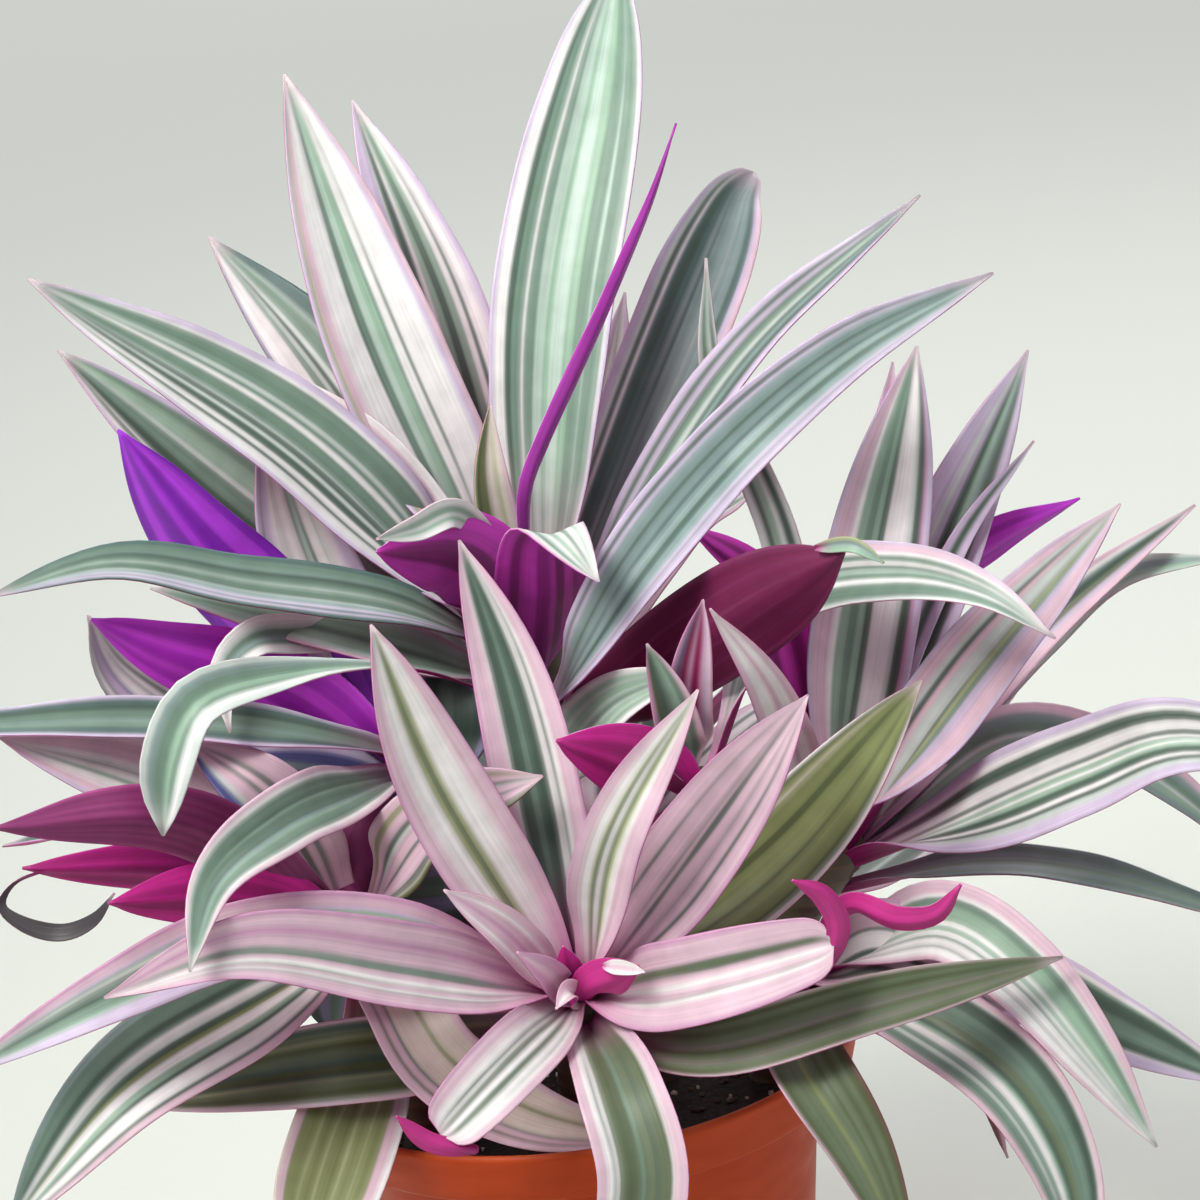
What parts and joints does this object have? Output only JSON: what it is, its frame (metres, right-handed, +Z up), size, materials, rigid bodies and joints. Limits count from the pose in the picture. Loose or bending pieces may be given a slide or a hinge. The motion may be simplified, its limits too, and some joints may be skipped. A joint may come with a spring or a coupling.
{
  "type": "potted tradescantia",
  "caption": "Round tapered plastic pot of potting mix with a dense clump of leafy shoots, each a rosette of long keeled leaves striped green, cream and pink with magenta undersides.",
  "frame": {"origin": "centre of the pot's underside, on the surface that it stands on", "axes": "+Z up out of the pot, -Y towards the viewer of the picture, +X to the viewer's right"},
  "size_m": [0.3231, 0.261, 0.3699],
  "materials": {
    "pot_plastic": "moulded terracotta-orange polypropylene, satin",
    "potting_mix": "moist composted bark and peat with perlite grains",
    "leaf": "fleshy striped leaf, satin"
  },
  "bodies": {
    "root": {"pot": "pot_plastic", "potting_mix": "potting_mix", "shoot_rear": "leaf", "shoot_front": "leaf", "shoot_right": "leaf", "shoot_middle": "leaf", "shoot_left": "leaf", "shoot_low_left": "leaf", "shoot_low_right": "leaf", "shoot_back": "leaf"}
  },
  "joints": []
}
